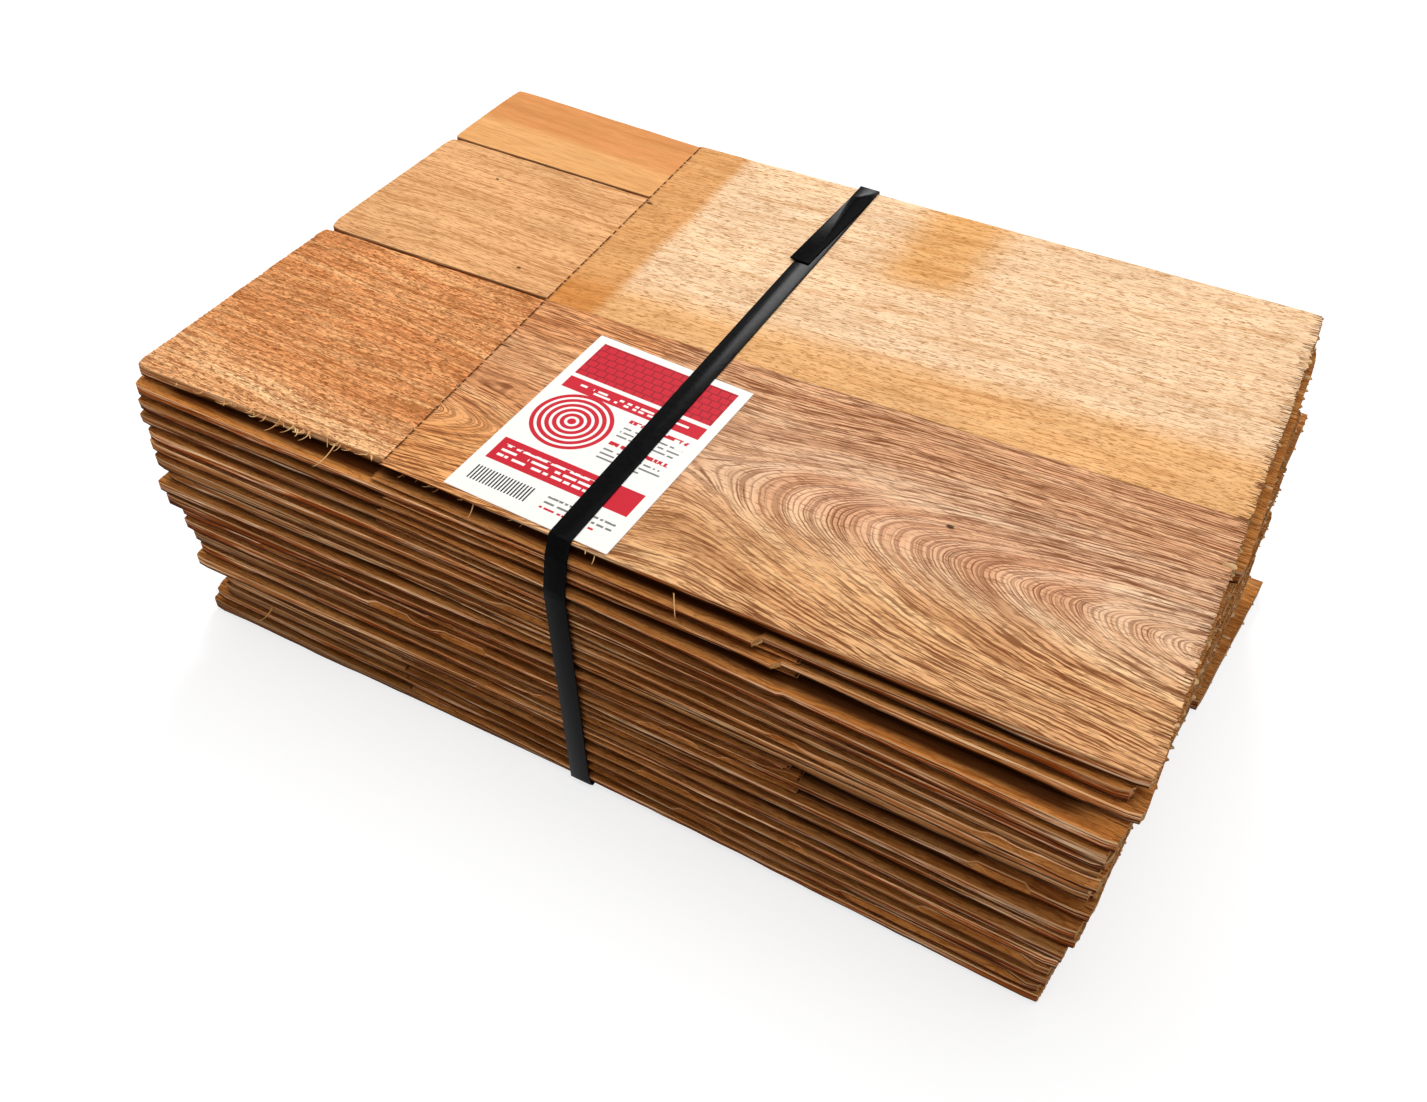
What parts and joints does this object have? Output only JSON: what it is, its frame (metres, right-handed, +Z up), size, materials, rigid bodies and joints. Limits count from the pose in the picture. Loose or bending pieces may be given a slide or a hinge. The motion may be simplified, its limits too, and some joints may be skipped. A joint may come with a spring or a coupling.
{
  "type": "bundle of shingles",
  "caption": "Strapped bundle of tapered cedar roofing shingles, laid in two banks with butts outwards and tips overlapping, with a label under the strap.",
  "frame": {"origin": "centre of the bundle's box, on the floor that it rests on", "axes": "+X along the grain towards the right bank's butts, +Y to the back, away from the label, +Z up"},
  "size_m": [0.5878, 0.3902, 0.2048],
  "materials": {
    "cedar": "rough sawn, unfinished",
    "strap": "soft sheen",
    "label": "satin print"
  },
  "bodies": {
    "root": {"left_course_01": "cedar", "left_course_02": "cedar", "left_course_03": "cedar", "left_course_04": "cedar", "left_course_05": "cedar", "left_course_06": "cedar", "left_course_07": "cedar", "left_course_08": "cedar", "left_course_09": "cedar", "left_course_10": "cedar", "left_course_11": "cedar", "left_course_12": "cedar", "left_course_13": "cedar", "left_course_14": "cedar", "left_course_15": "cedar", "left_course_16": "cedar", "left_course_17": "cedar", "left_course_18": "cedar", "left_course_19": "cedar", "left_course_20": "cedar", "right_course_01": "cedar", "right_course_02": "cedar", "right_course_03": "cedar", "right_course_04": "cedar", "right_course_05": "cedar", "right_course_06": "cedar", "right_course_07": "cedar", "right_course_08": "cedar", "right_course_09": "cedar", "right_course_10": "cedar", "right_course_11": "cedar", "right_course_12": "cedar", "right_course_13": "cedar", "right_course_14": "cedar", "right_course_15": "cedar", "right_course_16": "cedar", "right_course_17": "cedar", "right_course_18": "cedar", "right_course_19": "cedar", "right_course_20": "cedar", "strap": "strap", "label": "label"}
  },
  "joints": []
}
